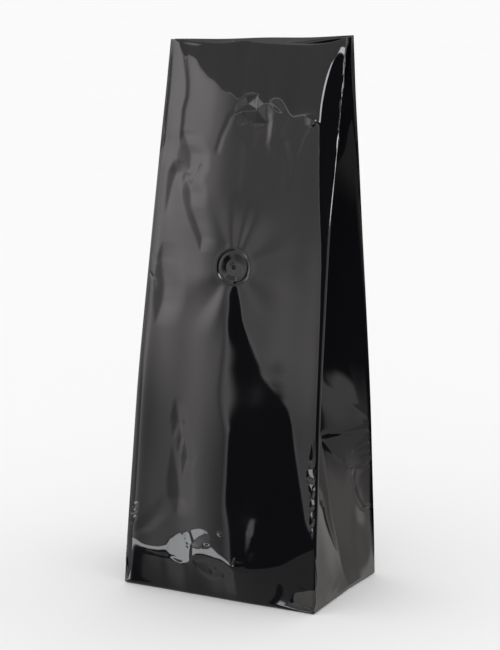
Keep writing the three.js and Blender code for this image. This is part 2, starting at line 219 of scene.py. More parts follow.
# The foot's upright strip: its lower edge, and how much of the edge above the foot it takes away
LEDGE_Z = through([
    [-64, 31.4], [-61.9, 30], [-55.1, 28.5], [-49.9, 25.8], [-44.6, 25], [-38, 25.2], [-33, 26.4],
    [-28, 25.4], [-22, 24.2], [-17, 25.6], [-8.8, 27.6], [-2.8, 28], [1.3, 27.2], [6.7, 25.8],
    [10.7, 23.6], [14.5, 21.9], [24, 20.8], [31, 21.8], [37, 23.4], [42, 25.4], [47.4, 29.1],
    [52.1, 32.5], [56.7, 35.3], [62.2, 38],
])
LEDGE_CUT = through([
    [-64, 0.01], [-42, 0.01], [-35, 0.05], [-32.6, 0.12], [-31, 0.42], [-28.6, 0.6], [-26.3, 0.8],
    [-22.8, 1.0], [-20.6, 0.98], [-18.5, 1.02], [-16.5, 0.85], [-14.6, 0.38], [-12.4, 0.12], [-9, 0.08],
    [-5, 0.16], [-1.5, 0.24], [1, 0.2], [4, 0.1], [7, 0.06], [12, 0.05], [18, 0.03], [22, 0.01],
    [64, 0.01],
])
LEDGE_UPRIGHT = 0.014
LEDGE_ROUND = 0.05
LEDGE_START = (2, 10)   # the heights between which the strip comes in, and those where it goes out
LEDGE_END = (52, 70)


def soft_most(a, b, rounding):
    """The greater of a and b, rounded off where they meet."""
    return b + rounding * softplus((a - b) / rounding)


def margins(x, z):
    """How far the panel has come forward from each of its two folds, from 0 to 1."""
    from_left = half_chord(z) + x - chord_middle(z)
    from_right = half_chord(z) - x + chord_middle(z)
    right_end_round = lerp(0.35, 0.8, smooth(z, 278, 292))
    left = soft_ramp(from_left, 0, LEFT_MARGIN(z), LEFT_START_ROUND, 1.2)
    right = soft_ramp(from_right, 0, RIGHT_MARGIN(z), RIGHT_START_ROUND, right_end_round)
    return left, right


def panel_bulge(x, z):
    """How far the front panel stands forward of the line between its folds, before the strip is cut."""
    crest, right, wedge = CREST_BULGE(z), RIGHT_BULGE(z), WEDGE_DROP(z)
    above = smooth(z, *RISE_LEVELS)
    start, start_round, end_round, power = (lerp(a, b, above) for a, b in zip(RISE_BELOW, RISE_ABOVE))
    rise = soft_ramp(x - chord_middle(z), start, CREST_LEFT_X(z), start_round, end_round) ** power
    wedge_right = WEDGE_RIGHT_X(z)
    wedge_round = lerp(1.1, 0.7, smooth(z, 130, 180))
    wedge_shape = soft_ramp(x, WEDGE_LEFT_X(z), wedge_right, wedge_round, 0.45)
    tilt_start = lerp(wedge_right, TILT_LEFT_X, smooth(z, WEDGE_TOP - 22, WEDGE_TOP + 8))
    tilt_round = lerp(0.8, 3.5, smooth(z, 165, 195))
    tilt = soft_ramp(x, tilt_start, np.maximum(tilt_start + 6, TILT_RIGHT_X), tilt_round, 1.5)
    bulge = lerp(LEFT_BULGE(z), crest, rise) - wedge * wedge_shape - (crest - right - wedge) * tilt
    left_margin, right_margin = margins(x, z)
    foot_round = lerp(0.85, 0.5, smooth(x, -12, 8))
    foot = soft_ramp(z, 0, LEDGE_Z(x), 1.0, foot_round)
    return bulge * left_margin * right_margin * foot


def uncut_front(x, z):
    """The front panel's Y as its folds and its bulge give it."""
    return front_line(across_bag(x, z), z) - panel_bulge(x, z)


def ledge(x, z, depth):
    """Cuts the edge above the foot to an upright strip, wide at the left and a line at the right."""
    at = LEDGE_Z(x)
    upright = uncut_front(x, at) + LEDGE_CUT(x) + LEDGE_UPRIGHT * (z - at)
    near = band(z, LEDGE_START, LEDGE_END)
    return lerp(depth, soft_most(depth, upright, LEDGE_ROUND), near)


def front_form(x, z):
    """The front panel's Y without its small creases."""
    depth = ledge(x, z, uncut_front(x, z))
    left_margin, right_margin = margins(x, z)
    back = MOUTH_LEAN_BACK * MOUTH_EDGE_ROUND * softplus((z - MOUTH_EDGE_Z(x)) / MOUTH_EDGE_ROUND)
    kink = FRONT_KINK * smooth(z, KINK_FOOT_Z, HEIGHT) * np.exp(-((x / KINK_WIDTH) ** 2))
    return depth + (back + kink) * left_margin * right_margin


# ---------------------------------------------------------------- creases in the film
def bent_line(x, z, path):
    """The distance of every point from a bent line."""
    near = np.full(np.broadcast(x, z).shape, 1e9)
    for (ax, az), (bx, bz) in zip(path, path[1:]):
        dx, dz = bx - ax, bz - az
        t = clamp(((x - ax) * dx + (z - az) * dz) / (dx * dx + dz * dz))
        near = np.minimum(near, np.hypot(x - ax - t * dx, z - az - t * dz))
    return near


def groove(x, z, path, depth, width):
    """A rounded crease pressed into the film along a bent line; a negative depth is a ridge."""
    return -depth * np.exp(-((bent_line(x, z, path) / width) ** 2))


def inside(x, z, outline):
    """True within a closed outline."""
    within = np.zeros(np.broadcast(x, z).shape, bool)
    for (ax, az), (bx, bz) in zip(outline, outline[1:] + outline[:1]):
        crosses = (az > z) != (bz > z)
        at = ax + (z - az) * (bx - ax) / (bz - az if bz != az else 1e-9)
        within ^= crosses & (x < at)
    return within


def in_from(x, z, outline):
    """How far every point is in from a closed outline, and 0 outside it."""
    return np.where(inside(x, z, outline), bent_line(x, z, outline + outline[:1]), 0)


def dent(x, z, outline, depth, edge):
    """A flat patch pressed in within an outline, with a sloping edge of its own width."""
    return -depth * smooth(in_from(x, z, outline), 0, edge)


def slanted(x, z, outline, turn, lean, edge):
    """A patch of film tilted within an outline: turn raises its right side, lean its upper side."""
    mid_x = sum(p[0] for p in outline) / len(outline)
    mid_z = sum(p[1] for p in outline) / len(outline)
    return (turn * (x - mid_x) + lean * (z - mid_z)) * smooth(in_from(x, z, outline), 0, edge)


def shard(x, z, left, right, turn, tail):
    """A flat sliver turned to the right by its slope; left and right are (x, z) up its two edges."""
    left_x = np.interp(z, [p[1] for p in left], [p[0] for p in left])
    right_x = np.interp(z, [p[1] for p in right], [p[0] for p in right])
    within = (z > left[0][1]) & (z < left[-1][1])
    width = np.where(within, np.maximum(right_x - left_x, 0), 0)
    across = clamp(x - left_x, 0, width)
    return -turn * (across - width * smooth(x - left_x - width, 0, tail))


def crumple(x, z, corners, facets):
    """Flat facets of crumpled film between corners (x, z, height); each facet names three of them."""
    relief = np.zeros(np.broadcast(x, z).shape)
    for facet in facets:
        (ax, az, ah), (bx, bz, bh), (cx, cz, ch) = (corners[i] for i in facet)
        area = (bz - cz) * (ax - cx) + (cx - bx) * (az - cz)
        a = ((bz - cz) * (x - cx) + (cx - bx) * (z - cz)) / area
        b = ((cz - az) * (x - cx) + (ax - cx) * (z - cz)) / area
        within = (a >= 0) & (b >= 0) & (a + b <= 1)
        relief = np.where(within, a * ah + b * bh + (1 - a - b) * ch, relief)
    return relief


# ---------------------------------------------------------------- what is pressed into the front panel
# Heights over the valve, by distance from its middle
VALVE_PROFILE = through([
    [0, -3.4], [1.1, -3.2], [1.7, -0.95], [2.2, -0.72], [3, -0.74], [4.6, -0.7], [5.4, -0.58], [7.6, -0.26],
    [8.2, -0.18], [8.7, -0.2], [9.2, -0.36], [9.7, -0.26], [10.5, 0.04], [11.4, 0.06], [13, 0.0], [20, 0],
])
# The ridges and troughs that run out from the valve, by angle in degrees from its right
PULL_BY_ANGLE = through([
    [-180, 0], [-158, 0], [-136, -0.022], [-124, -0.024], [-107, 0.010], [-96, 0.004], [-88, 0], [-60, 0],
    [-44, -0.005], [-24, 0.006], [-8, 0], [8, -0.004], [22, 0.003], [38, -0.004], [64, 0.014], [80, -0.014],
    [97, 0.008], [116, -0.022], [134, -0.008], [156, 0], [180, 0],
])
PULL_START = (9.5, 14)  # the distances between which they come in, and those where they go out
PULL_END = (20, 48)
VALVE_RIM_MARK = [[6.4, -8.0], [8.2, -6.4], [9.2, -4.6]]
# The dark line along the turned film at the left of the mouth, from its top down
MOUTH_LINE = [
    [-46.7, 326], [-43.9, 323.7], [-40.9, 316.2], [-38.5, 306.9], [-37.1, 299.9], [-36.7, 292.3],
    [-38.4, 283.9], [-38.4, 276.8], [-38.9, 269.7], [-38.2, 264],
]
LINE_HALF_WIDTH = 1.2
LINE_OPEN = (266, 324)  # the heights between which the line has its width
LINE_TURN = 0.2
LINE_TAIL = 22.0
MOUTH_LEFT_TURN = 0.085
MOUTH_LEFT_ROUND = 0.4
MOUTH_LEFT_START = (250, 268)   # the heights between which the turned film comes in
SLIVERS = [
    # left edge and right edge, each from the bottom to the top as (x, z), the turn and the tail
    [[[-38, 238], [-40.6, 250], [-40.6, 259], [-38, 272]],
     [[-37.8, 238], [-31, 251], [-31.4, 259], [-37.6, 272]], 0.11, 16],
    [[[-46.5, 221.7], [-46.9, 236.3], [-46.2, 246.9], [-42.4, 254.2]],
     [[-46.5, 221.7], [-42.7, 240.1], [-40.3, 247.4], [-42, 254.2]], 0.15, 10],
    [[[-19.2, 203.4], [-23, 210.5], [-28.2, 219.3], [-32.7, 228.8], [-35.7, 237.3], [-36, 247]],
     [[-19, 203.4], [-18.8, 210.8], [-23.9, 220.8], [-28.2, 228.6], [-29.4, 236.7], [-33.4, 247]], 0.14, 14],
    [[[-48.6, 158.2], [-51.6, 171.4], [-51.5, 186.1], [-50.3, 197.3], [-47.3, 205.8]],
     [[-48.4, 158.2], [-44.8, 170.4], [-44.2, 180.5], [-47.1, 194.1], [-47.1, 205.8]], 0.125, 18],
    [[[-31.6, 93.4], [-33.7, 104.4], [-31.6, 115.1]],
     [[-31.4, 93.4], [-28.3, 102.3], [-30.4, 115.1]], 0.11, 8],
    [[[-27.6, 84.4], [-28.7, 94.7], [-27.6, 103.5]],
     [[-27.4, 84.4], [-25.4, 93.7], [-27.4, 103.5]], 0.11, 8],
    [[[-24.1, 70.7], [-24.9, 81.8], [-23.1, 94.2]],
     [[-23.9, 70.7], [-20.8, 82.8], [-22.7, 94.2]], 0.11, 8],
    [[[-26.6, 47.6], [-33.4, 57.7], [-34.6, 68], [-32, 88]],
     [[-26.4, 47.6], [-26, 59], [-27.4, 70], [-31.6, 88]], 0.09, 14],
    [[[-61, 30], [-57.8, 37], [-46.2, 48.5], [-36.5, 57.4]],
     [[-60.6, 30], [-49.7, 36.9], [-40.6, 46.4], [-36, 57.4]], 0.03, 10],
    # the thin streak in the foot of the dark wedge
    [[[21, 27], [19.4, 33], [20.4, 42], [23.4, 51]],
     [[21.2, 27], [23.6, 34], [25, 42], [24.4, 51]], -0.065, 8],
    # above the crushed film at the right fold
    [[[57.4, 86], [55.4, 89], [57.2, 101.3]],
     [[57.6, 86], [58.6, 91], [57.4, 101.3]], 0.10, 2],
]
# The crumples under the mouth, at the right end of its edge and in the strip above the foot, each
# by its corners as (x, z, height) and its facets
MOUTH_CORNERS = [
    [-4, 288.4, 0], [0.4, 291.2, 0], [5.2, 289, -0.9], [4.6, 285.4, 0.2], [-2.4, 283.6, 0], [3.6, 294.8, 0],
    [12, 295, 0], [12.2, 286.2, 0.5], [17.2, 290.6, 0], [17.6, 284.8, -0.3], [22.6, 286.4, 0.35],
    [22.4, 281.6, 0.35], [19.6, 278.6, -0.5], [10.4, 278.4, -0.6], [4.4, 280.2, -0.5], [-2, 275, 0],
    [10, 261, 0], [20.8, 261, 0], [30.5, 284, 0], [19.8, 292, 0],
]
MOUTH_FACETS = [
    (0, 1, 2), (0, 2, 4), (4, 2, 3), (1, 5, 2), (5, 6, 2), (2, 6, 7), (2, 7, 3), (6, 8, 7), (7, 8, 9),
    (8, 19, 10), (8, 10, 9), (9, 10, 11), (9, 11, 12), (7, 9, 12), (7, 12, 13), (3, 7, 13), (3, 13, 14),
    (4, 3, 14), (4, 14, 15), (14, 13, 15), (13, 16, 15), (13, 12, 16), (12, 17, 16), (12, 11, 17),
    (11, 18, 17), (10, 18, 11), (19, 18, 10),
]
END_CORNERS = [[42.8, 284.4, 0], [47.6, 282.8, 0.65], [46.4, 277.6, 0.5], [43.2, 279.4, 0], [51, 279.6, 0]]
END_FACETS = [(0, 1, 3), (1, 2, 3), (1, 4, 2)]
LEDGE_CORNERS = [
    [-16.5, 30.5, 0], [-16.5, 40.5, 0], [-13.5, 33.6, -0.55], [-12.2, 42.3, 0], [-10, 36.9, -0.38],
    [-8.7, 42.8, 0], [-5.2, 42.6, 0], [-3.4, 40.3, -0.1], [-9, 31, 0], [-1.5, 36, 0],
]
LEDGE_FACETS = [
    (0, 1, 2), (1, 3, 2), (2, 3, 4), (3, 5, 4), (5, 6, 4), (4, 6, 7), (0, 2, 8), (2, 4, 8), (4, 9, 8),
    (4, 7, 9),
]
FRONT_CREASES = [
    # path as (x, z), depth and width; a negative depth is a ridge
    # down the left edge
    [[[-47.7, 265], [-50.4, 257.7], [-51.5, 247], [-52.2, 232.3], [-54.1, 222.1], [-53.7, 198.1],
      [-50.8, 193.8]], 0.10, 0.8],
    [[[-55.4, 187], [-51.6, 184.6], [-50, 180.4]], 0.25, 0.7],
    [[[-57.6, 180], [-55.4, 176], [-56.2, 166], [-57.8, 156]], 0.14, 0.7],
    [[[-61.6, 51], [-58.6, 48], [-55, 49.8]], 0.45, 0.7],
    [[[-61.4, 44.6], [-58, 44], [-55.4, 46.4]], 0.45, 0.7],
    [[[-61.6, 39], [-58.4, 38], [-56, 42]], 0.35, 0.8],
    # round the crumples under the mouth
    [[[10.4, 294], [10, 290.4]], 0.12, 0.4],
    [[[22.4, 283.5], [22.4, 277.7], [21.6, 273], [20.7, 267]], -0.14, 0.5],
    [[[-2.2, 282.9], [3.2, 281], [6.1, 277.6], [12, 276.6], [16.9, 277.6]], -0.14, 0.5],
    [[[-0.6, 285], [-5.3, 281], [-6.9, 276.5], [-9.9, 270], [-12, 262]], 0.2, 1.8],
    [[[46.8, 276], [44.1, 271.6], [42.6, 266.4], [41.2, 261]], -0.14, 0.8],
    [[[30, 268], [34, 256], [33, 244]], 0.14, 2.4],
    # specks beside the strip above the foot, and the creases at the right of the foot
    [[[14.8, 27.4], [19.8, 26.6], [18, 22.6], [14.4, 23.4], [14.8, 27.4]], -0.2, 0.6],
    [[[3.6, 41.8], [5, 41]], -0.3, 0.6],
    [[[44.5, 17], [50, 16.4], [57, 14.6]], 0.14, 1.8],
    [[[49, 13.4], [52, 9.2], [56.4, 4.6]], 0.14, 1.8],
]
TILTED_PATCHES = [
    # outline, turn, lean and width of the edge
    [[[-33.4, 243.4], [-26, 248.8], [-23.2, 254], [-21.4, 253], [-23.6, 246.8], [-29, 241.4]], -0.07, 0, 1.0],
    # in the strip above the foot
    [[[-23, 36.8], [-19, 36.6], [-19.4, 34.2], [-21.6, 34.6]], -0.12, 0, 0.8],
    [[[-20, 31.8], [-15.6, 32], [-15, 27.4], [-17.6, 28.6]], -0.14, 0, 0.8],
    # the hollows under it, and a flake in the right one
    [[[-50, 24], [-40, 23], [-28, 23], [-20, 21], [-22, 17.4], [-34, 18.6], [-46, 19.6]], 0, -0.055, 1.0],
    [[[-14, 22.6], [-6, 23.6], [2, 21.6], [8, 19.6], [6, 14], [-2, 12.6], [-9, 15], [-13, 19]],
     0, -0.055, 1.0],
    [[[-3.6, 21], [1.4, 20.6], [2, 17.4], [-2.4, 16.6]], 0.04, 0.14, 0.6],
    # the crushed film beside the right fold
    [[[55, 84], [58, 86], [61.2, 85.4], [61.2, 78], [58.5, 76.5], [55.2, 79]], 0.08, 0.098, 0.5],
    [[[55.4, 78.4], [58.4, 76], [61.2, 77.4], [61.2, 70], [58.8, 68], [56.8, 71.6]], 0.08, 0.098, 0.5],
    [[[57, 70.6], [58.8, 67.4], [61.2, 69.4], [61.2, 61.6], [58.2, 61.2], [57.6, 64]], 0.08, 0.098, 0.5],
    [[[57.8, 60.6], [61.2, 61], [61.2, 52.6], [58.4, 51]], 0.08, 0.098, 0.5],
    [[[57.6, 50.6], [61.2, 52], [61.6, 43], [59, 47]], 0.08, 0.098, 0.5],
]
DENTS = [
    # outline, depth and width of the edge: one in the strip, and the holes in the crushed film
    [[[-7.4, 34.2], [-2.2, 33.8], [-1, 32.6], [-6.6, 31.2]], 0.2, 0.8],
    [[[58.6, 84.6], [61.2, 84.2], [60.8, 78.4], [59.2, 79.2]], 0.3, 0.6],
    [[[58.4, 75.2], [60.2, 74.2], [60, 69.4], [58.8, 70.2]], 0.3, 0.6],
    [[[59.6, 61], [61.2, 61], [61.2, 51], [59.6, 53]], 0.3, 0.6],
]


def valve_relief(x, z):
    """The film pressed over the valve, and the streaks that it pulls into the panel."""
    radius = np.hypot(x - VALVE_X, z - VALVE_Z)
    angle = np.degrees(np.arctan2(z - VALVE_Z, x - VALVE_X))
    pulled = radius * PULL_BY_ANGLE(angle) * band(radius, PULL_START, PULL_END)
    rim_mark = [[VALVE_X + u, VALVE_Z + v] for u, v in VALVE_RIM_MARK]
    return VALVE_PROFILE(radius) + pulled + groove(x, z, rim_mark, 0.25, 0.7)


def mouth_left_relief(x, z):
    """The film at the left of the mouth, turned to the left, and the dark line along it."""
    path = MOUTH_LINE[::-1]
    line_x = np.interp(z, [pz for _, pz in path], [px for px, _ in path])
    left_of_line = softplus((line_x - x) / MOUTH_LEFT_ROUND) * MOUTH_LEFT_ROUND
    turned = MOUTH_LEFT_TURN * left_of_line * smooth(z, *MOUTH_LEFT_START)
    low, high = LINE_OPEN
    left = [[px - LINE_HALF_WIDTH, pz] for px, pz in path]
    right = [[px + (LINE_HALF_WIDTH if low < pz < high else -LINE_HALF_WIDTH), pz] for px, pz in path]
    return shard(x, z, left, right, LINE_TURN, LINE_TAIL) - turned


def front_waves(x, z):
    """The slow unevenness of the whole panel."""
    broad = 0.10 * np.sin(x / 7.5 + 0.6 * np.sin(z / 23)) * np.sin(z / 17 + x / 31)
    narrow = 0.06 * np.sin(x / 4.1 + z / 37) * np.sin(z / 29 - x / 19 + 1.3)
    return broad + narrow


def front_relief(x, z):
    """Everything that is pressed or crumpled into the front panel, outwards from its form."""
    relief = valve_relief(x, z) + mouth_left_relief(x, z) + front_waves(x, z)
    relief += crumple(x, z, MOUTH_CORNERS, MOUTH_FACETS)
    relief += crumple(x, z, END_CORNERS, END_FACETS)
    relief += crumple(x, z, LEDGE_CORNERS, LEDGE_FACETS)
    for left, right, turn, tail in SLIVERS:
        relief += shard(x, z, left, right, turn, tail)
    for path, depth, width in FRONT_CREASES:
        relief += groove(x, z, path, depth, width)
    for outline, turn, lean, edge in TILTED_PATCHES:
        relief += slanted(x, z, outline, turn, lean, edge)
    for outline, depth, edge in DENTS:
        relief += dent(x, z, outline, depth, edge)
    return relief


# ---------------------------------------------------------------- the back panel
BACK_BULGE = 6.6        # how far it stands out from its folds up to mid height, and at the mouth
BACK_MOUTH_BULGE = 4.2
BACK_KNEE_Z = 34.0      # the height at which it is fully out
BACK_MARGIN = 9.0
BACK_SWAY = 0.8
BACK_SEAM_X = -1.5
BACK_SEAM_WIDTH = 11.0
BACK_SEAM_RAISED = 0.32
BACK_CREASES = [
    # path as (x, z), depth and width
    [[[-30, 210], [-12, 196], [6, 188]], 0.4, 2.2],
    [[[22, 262], [30, 240], [26, 222], [34, 206]], 0.45, 2.0],
    [[[-46, 120], [-34, 104], [-20, 98]], 0.4, 2.4],
    [[[50, 92], [36, 78], [30, 60]], 0.5, 2.2],
    [[[-52, 40], [-30, 30], [-4, 34], [24, 27], [52, 36]], 0.5, 3.2],
    [[[-40, 300], [-30, 288], [-22, 286]], 0.35, 1.8],
]


def back_form(x, z):
    """The back panel's Y without its creases."""
    across = across_bag(x, z)
    from_left = half_chord(z) * (1 + across)
    from_right = half_chord(z) * (1 - across)
    height = smooth(z, 0, BACK_KNEE_Z) * lerp(BACK_BULGE, BACK_MOUTH_BULGE, smooth(z, 180, HEIGHT))
    shoulder = soft_ramp(from_left, 0, BACK_MARGIN, 0.3, 3) * soft_ramp(from_right, 0, BACK_MARGIN, 0.3, 3)
    sway = BACK_SWAY * np.sin(z / 46) * np.cos(across * 1.4) * smooth(z, 0, 40)
    return back_line(across, z) + (height + sway) * shoulder


def back_relief(x, z):
    """The lap seam down the middle of the back, and the panel's creases."""
    off_seam = np.abs(x - BACK_SEAM_X - 0.5 * np.sin(z / 60))
    relief = BACK_SEAM_RAISED * (1 - smooth(off_seam, BACK_SEAM_WIDTH / 2 - 0.7, BACK_SEAM_WIDTH / 2 + 0.3))
    relief = relief * smooth(z, 0.5, 4)
    for path, depth, width in BACK_CREASES:
        relief += groove(x, z, path, depth, width)
    relief += 0.12 * np.sin(x / 8.5 + 0.7 * np.sin(z / 31)) * np.sin(z / 21 + x / 27)
    return relief


# ---------------------------------------------------------------- the side gussets
GUSSET_BOW = (0.5, -0.75)       # how far the front and the back half of a gusset belly out
FOOT_BOW = 1.1          # how much more the front half does so above the foot
FOOT_BOW_START = (2, 34)        # the heights between which that comes in, and those where it goes out
FOOT_BOW_END = (50, 110)
GUSSET_HALF = 36.0      # width of half a gusset, to place its creases by
OUTER_SWELL = 0.9       # how far the right gusset stands out beside its back fold above the foot
FOOT_HOLLOW = 1.3       # and how far it is pressed in there at the foot
RIGHT_SIDE_LINES = [
    # path by place across the back half of the right gusset and height, depth and width in mm
    [[[0.08, 92.8], [0.18, 93.4], [0.38, 92.5], [0.6, 91.5], [0.84, 92], [0.99, 92.2]], 0.26, 0.8],
    [[[0.06, 89.9], [0.19, 83.8], [0.3, 78.9], [0.41, 75.7]], 0.24, 0.9],
    [[[0.99, 84.6], [0.86, 83.7], [0.74, 82.1], [0.65, 79.6], [0.73, 78.7], [0.86, 79.4], [0.99, 79.1]],
     0.26, 0.8],
    [[[0.99, 71], [0.88, 68.1], [0.75, 67.8], [0.64, 68.6], [0.58, 64.2], [0.59, 58], [0.64, 51.4],
      [0.74, 44.9], [0.84, 42.2], [0.98, 40.8]], 0.42, 0.9],
    [[[0.47, 70.7], [0.6, 71.4], [0.8, 71.3], [0.96, 72.6]], -0.28, 0.8],
    [[[0.84, 43.9], [0.98, 42.6]], -0.35, 1.0],
    [[[0.24, 123.5], [0.34, 118.9], [0.46, 114.1], [0.57, 110], [0.73, 105.5], [0.91, 100.9], [0.99, 98]],
     0.12, 1.2],
]
# The same across the front half of both gussets: the slanted seal above the foot, and the short
# ridges across it
FOOT_SEAL = [[[0.32, 4], [0.55, 8.6], [0.76, 11.5]], 0.25, 0.8]
SEAL_RIDGES = [
    [[[0.42 + 0.08 * i, 7.5 + 1.1 * i], [0.42 + 0.08 * i + 1.6 / GUSSET_HALF, 2.5 + 1.1 * i]], -0.14, 0.6]
    for i in range(4)
]


def gusset_line(side, half, place, z):
    """Half a gusset in plan: half 0 runs from the front fold in to the crease, 1 from there to the back."""
    fold_x = chord_middle(z) + side * half_chord(z)
    front = FRONT_RIGHT_FOLD(z) if side > 0 else FRONT_LEFT_FOLD(z)
    back = BACK_RIGHT_FOLD(z) if side > 0 else BACK_LEFT_FOLD(z)
    crease_x = fold_x - side * CREASE_DEPTH(z)
    crease_y = lerp(front, back, CREASE_SHARE(z))
    bow = GUSSET_BOW[half] * np.sin(np.pi * z / HEIGHT)
    if half == 0:
        bow = bow + FOOT_BOW * band(z, FOOT_BOW_START, FOOT_BOW_END)
    bow = side * bow * np.sin(np.pi * place)
    if half == 0:
        return lerp(fold_x, crease_x, place) + bow, lerp(front, crease_y, place)
    return lerp(crease_x, fold_x, place) + bow, lerp(crease_y, back, place)


def gusset_relief(side, half, place, z):
    """Creases pressed into a gusset, outwards from its form."""
    relief = 0.10 * np.sin(z / 9.5 + place * 5 + side) * np.sin(place * 7 + z / 33)
    lines = [FOOT_SEAL, *SEAL_RIDGES] if half == 0 else []
    if side > 0 and half == 1:
        lines = RIGHT_SIDE_LINES
        outer = smooth(place, 0.4, 0.85)
        relief = relief + (OUTER_SWELL * smooth(z, 40, 84) - FOOT_HOLLOW * smooth(z, 2, 38)) * outer
    for path, depth, width in lines:
        in_mm = [[across * GUSSET_HALF, height] for across, height in path]
        relief = relief + groove(place * GUSSET_HALF, z, in_mm, depth, width)
    return relief * smooth(place * (1 - place), 0, 0.04)


# ---------------------------------------------------------------- the web of film, ring by ring
# Where the spacing of the columns changes across the front panel, and the step of each stretch
COLUMN_ENDS = (-26, VALVE_X - 12.6, VALVE_X + 12.6, 52.5)
COLUMN_STEPS = (0.95, 0.6, 0.46, 1.3, 0.6)
# The same for the rings, up the bag
RING_ENDS = (FOOT_ROUND, 14, 46, 112, 183, 208, 264, 298, HEIGHT)
RING_STEPS = (1.6, 0.8, 1.2, 2.0, 0.55, 1.2, 0.7, 1.4)
# Columns across the front and back half of the right gusset, half of the left one, and the back
RIGHT_COLUMNS = (18, 32)
LEFT_COLUMNS = 10
BACK_COLUMNS = 32
# Places across half a gusset: the first and last flat ones between a fold and the crease, and the
# last one beside a sharp fold
NEAR, FAR, LAST = 0.035, 0.965, 0.99
JOG = 1.5               # size of the small steps in the right front fold below the mouth
JOG_START = (240, 275)  # the heights between which they come in, and those where they go out
JOG_END = (312, 322)


def stretches(ends, steps):
    """Values from the first end to the last, evenly spaced in each stretch by about its own step."""
    values = []
    for start, end, step in zip(ends, ends[1:], steps):
        count = max(int(round((end - start) / step)), 1)
        values.append(start + (end - start) * np.arange(count) / count)
    return np.concatenate([*values, [ends[-1]]])


def front_places():
    """Places across the front panel from -1 to 1, close together where the valve is."""
    half = half_chord(VALVE_Z) - FOLD_REACH(VALVE_Z)
    middle = chord_middle(VALVE_Z)
    ends = [-1, *((x - middle) / half for x in COLUMN_ENDS), 1]
    return stretches(ends, [step / half for step in COLUMN_STEPS])


def jog(z):
    """The small steps in the right front fold below the mouth."""
    return JOG * np.sin(z / 3.1) * np.sin(z / 7.7 + 1) * band(z, JOG_START, JOG_END)


def rounded(before, corner, after, steps):
    """The points that round a fold off between two panels, without its two ends."""
    points = []
    for i in range(1, steps):
        t = i / steps
        points.append(tuple(
            (1 - t) ** 2 * b + 2 * t * (1 - t) * c + t * t * a for b, c, a in zip(before, corner, after)
        ))
    return points


def ring_columns(z):
    """The web of film in plan at every height z, counter-clockwise from the front left fold."""
    middle, half, reach = chord_middle(z), half_chord(z), FOLD_REACH(z)
    columns = []        # each is (x, y, relief) down the whole height

    def gusset(side, which, places):
        for place in places:
            x, y = gusset_line(side, which, place, z)
            columns.append((x, y, gusset_relief(side, which, place, z)))

    def fold(before, corner, after, steps=6):
        for x, y in rounded(before, corner, after, steps):
            columns.append((x, y, 0 * z))

    def toward(corner, side, which, place):
        """A point of the gusset at a fixed reach from a corner of it."""
        x, y = gusset_line(side, which, place, z)
        share = reach / np.hypot(x - corner[0], y - corner[1])
        return corner[0] + (x - corner[0]) * share, corner[1] + (y - corner[1]) * share

    right_front = (middle + half, FRONT_RIGHT_FOLD(z) + jog(z))
    right_back = (middle + half, BACK_RIGHT_FOLD(z))
    left_front = (middle - half, FRONT_LEFT_FOLD(z))
    left_back = (middle - half, BACK_LEFT_FOLD(z))

    for place in front_places():
        x = lerp(middle - half + SHARP_REACH, middle + half - reach, (place + 1) / 2)
        edge = smooth(np.abs(place), 0.96, 1.0)
        columns.append((x, front_form(x, z), front_relief(x, z) * (1 - 0.6 * edge)))
    fold(columns[-1][:2], right_front, toward(right_front, 1, 0, NEAR))
    gusset(1, 0, np.linspace(NEAR, FAR, RIGHT_COLUMNS[0]))
    fold(columns[-1][:2], gusset_line(1, 1, 0, z), gusset_line(1, 1, NEAR, z), 4)
    gusset(1, 1, np.linspace(NEAR, LAST, RIGHT_COLUMNS[1]))
    back_x = [middle - (half - SHARP_REACH) * place for place in np.linspace(-1, 1, BACK_COLUMNS)]
    back_y = [back_form(x, z) for x in back_x]
    fold(columns[-1][:2], right_back, (back_x[0], back_y[0]))
    for x, y in zip(back_x, back_y):
        columns.append((x, y, back_relief(x, z)))
    fold(columns[-1][:2], left_back, gusset_line(-1, 1, LAST, z))
    gusset(-1, 1, np.linspace(LAST, NEAR, LEFT_COLUMNS))
    fold(columns[-1][:2], gusset_line(-1, 1, 0, z), gusset_line(-1, 0, FAR, z), 4)
    gusset(-1, 0, np.linspace(FAR, 1 - LAST, LEFT_COLUMNS))
    fold(columns[-1][:2], left_front, columns[0][:2])
    return columns


# How far the front and the back lip hang below the line between the corners, from left to right
FRONT_LIP_DIP = through([
    [-1, 0], [-0.8, 0.2], [-0.57, 1.6], [-0.32, 2.4], [-0.09, 1.5], [0.1, 2.8], [0.53, 4.6], [0.74, 4],
    [0.89, 2.4], [1, 0],
])
BACK_LIP_DIP = through([[-1, 0], [-0.5, 0.8], [0, 0.5], [0.5, 0.9], [1, 0]])


def lip_rise(x, y, z):
    """The film's own height: the mouth is tilted, and its lips dip between the folds."""
    across = clamp(across_bag(x, z), -1, 1)
    front, back = front_line(across, z), back_line(across, z)
    through_bag = smooth((y - front) / np.maximum(back - front, 1), 0.0, 1.0)
    dip = lerp(FRONT_LIP_DIP(across), BACK_LIP_DIP(across), through_bag)
    return z + (z / HEIGHT) ** 6 * (MOUTH_TILT * across - dip)


def film_grid():
    """The outer face of the film as arrays of X, Y, Z by ring and column, and its normals in plan."""
    z = stretches(RING_ENDS, RING_STEPS)
    columns = ring_columns(z)
    x = np.stack([c[0] for c in columns], 1)
    y = np.stack([c[1] for c in columns], 1)
    relief = np.stack([c[2] for c in columns], 1)
    dx = np.roll(x, -1, 1) - np.roll(x, 1, 1)
    dy = np.roll(y, -1, 1) - np.roll(y, 1, 1)
    length = np.hypot(dx, dy)
    nx, ny = dy / length, -dx / length
    x, y = x + nx * relief, y + ny * relief
    height = lip_rise(x, y, np.broadcast_to(z[:, None], x.shape))
    return x, y + CENTRING, height, nx, ny


